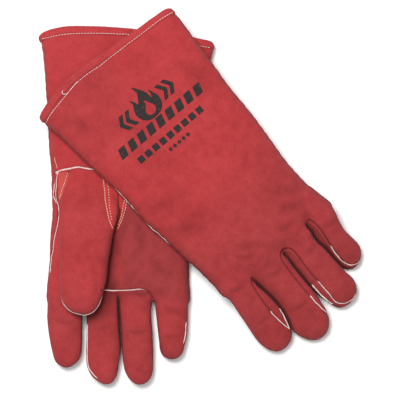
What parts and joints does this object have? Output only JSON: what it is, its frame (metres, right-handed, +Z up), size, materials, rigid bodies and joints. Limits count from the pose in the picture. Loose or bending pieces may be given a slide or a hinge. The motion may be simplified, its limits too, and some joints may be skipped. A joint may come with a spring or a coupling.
{
  "type": "welding gloves",
  "caption": "Russet split-leather gauntlet welding gloves with wing thumbs and welted seams, one laid across the other.",
  "frame": {"origin": "centre of the pair's footprint on the surface they lie on", "axes": "+Z up, +Y along the right glove from its fingertips to its cuff, +X towards its little-finger side"},
  "size_m": [0.2979, 0.3474, 0.05],
  "materials": {
    "split_leather": "napped split leather",
    "welt_leather": "pale seam welt",
    "cotton_lining": "brushed cotton",
    "thread": "twisted sewing thread"
  },
  "bodies": {
    "right_hand": {"right_cuff_binding": "split_leather", "right_cuff_front": "split_leather", "right_cuff_lining": "cotton_lining", "right_hand_back": "split_leather", "right_hand_lining": "cotton_lining", "right_hem_stitching": "thread", "right_palm": "split_leather", "right_side_welts": "welt_leather", "right_thumb_patch": "split_leather", "right_wrist_welt": "welt_leather"},
    "right_thumb": {"right_thumb_back": "split_leather", "right_thumb_front": "split_leather", "right_thumb_lining": "cotton_lining"},
    "right_index": {"right_index_back": "split_leather", "right_index_fourchettes": "split_leather", "right_index_front": "split_leather", "right_index_lining": "cotton_lining"},
    "right_middle": {"right_middle_back": "split_leather", "right_middle_fourchettes": "split_leather", "right_middle_front": "split_leather", "right_middle_lining": "cotton_lining"},
    "right_ring": {"right_ring_back": "split_leather", "right_ring_fourchettes": "split_leather", "right_ring_front": "split_leather", "right_ring_lining": "cotton_lining"},
    "right_little": {"right_little_back": "split_leather", "right_little_fourchettes": "split_leather", "right_little_front": "split_leather", "right_little_lining": "cotton_lining"},
    "left_hand": {"left_cuff_binding": "split_leather", "left_cuff_front": "split_leather", "left_cuff_lining": "cotton_lining", "left_hand_back": "split_leather", "left_hand_lining": "cotton_lining", "left_hem_stitching": "thread", "left_palm": "split_leather", "left_side_welts": "welt_leather", "left_thumb_patch": "split_leather", "left_wrist_welt": "welt_leather"},
    "left_thumb": {"left_thumb_back": "split_leather", "left_thumb_front": "split_leather", "left_thumb_lining": "cotton_lining"},
    "left_index": {"left_index_back": "split_leather", "left_index_fourchettes": "split_leather", "left_index_front": "split_leather", "left_index_lining": "cotton_lining"},
    "left_middle": {"left_middle_back": "split_leather", "left_middle_fourchettes": "split_leather", "left_middle_front": "split_leather", "left_middle_lining": "cotton_lining"},
    "left_ring": {"left_ring_back": "split_leather", "left_ring_fourchettes": "split_leather", "left_ring_front": "split_leather", "left_ring_lining": "cotton_lining"},
    "left_little": {"left_little_back": "split_leather", "left_little_fourchettes": "split_leather", "left_little_front": "split_leather", "left_little_lining": "cotton_lining"}
  },
  "joints": [
    {"name": "left_glove_lift", "type": "slide", "parent": "right_hand", "child": "left_hand", "axis": [0, 0, 1], "range_m": [0, 0.15]},
    {"name": "right_index_bend", "type": "hinge", "parent": "right_hand", "child": "right_index", "pos_m": [-0.1249, -0.1108, 0.0215], "axis": [-1, 0, 0], "range_deg": [0, 75]},
    {"name": "right_middle_bend", "type": "hinge", "parent": "right_hand", "child": "right_middle", "pos_m": [-0.0898, -0.1108, 0.0215], "axis": [-1, 0, 0], "range_deg": [0, 80]},
    {"name": "right_ring_bend", "type": "hinge", "parent": "right_hand", "child": "right_ring", "pos_m": [-0.0581, -0.1108, 0.0215], "axis": [-1, 0, 0], "range_deg": [0, 80]},
    {"name": "right_little_bend", "type": "hinge", "parent": "right_hand", "child": "right_little", "pos_m": [-0.0259, -0.1108, 0.0205], "axis": [-1, 0, 0], "range_deg": [0, 80]},
    {"name": "right_thumb_lift", "type": "hinge", "parent": "right_hand", "child": "right_thumb", "pos_m": [-0.1059, -0.0149, 0.0254], "axis": [-1, 0, 0], "range_deg": [0, 65]},
    {"name": "left_index_bend", "type": "hinge", "parent": "left_hand", "child": "left_index", "pos_m": [0.03734, -0.08882, 0.04035], "axis": [-0.8, -0.6, 0], "range_deg": [0, 40]},
    {"name": "left_middle_bend", "type": "hinge", "parent": "left_hand", "child": "left_middle", "pos_m": [0.06598, -0.06734, 0.04035], "axis": [-0.8, -0.6, 0], "range_deg": [0, 40]},
    {"name": "left_ring_bend", "type": "hinge", "parent": "left_hand", "child": "left_ring", "pos_m": [0.0951, -0.0455, 0.04035], "axis": [-0.8, -0.6, 0], "range_deg": [0, 40]},
    {"name": "left_little_bend", "type": "hinge", "parent": "left_hand", "child": "left_little", "pos_m": [0.1183, -0.0281, 0.0401], "axis": [-0.8, -0.6, 0], "range_deg": [0, 40]},
    {"name": "left_thumb_swing", "type": "hinge", "parent": "left_hand", "child": "left_thumb", "pos_m": [0.0071, -0.031, 0.0094], "axis": [0, 0, 1], "range_deg": [0, 20]}
  ]
}
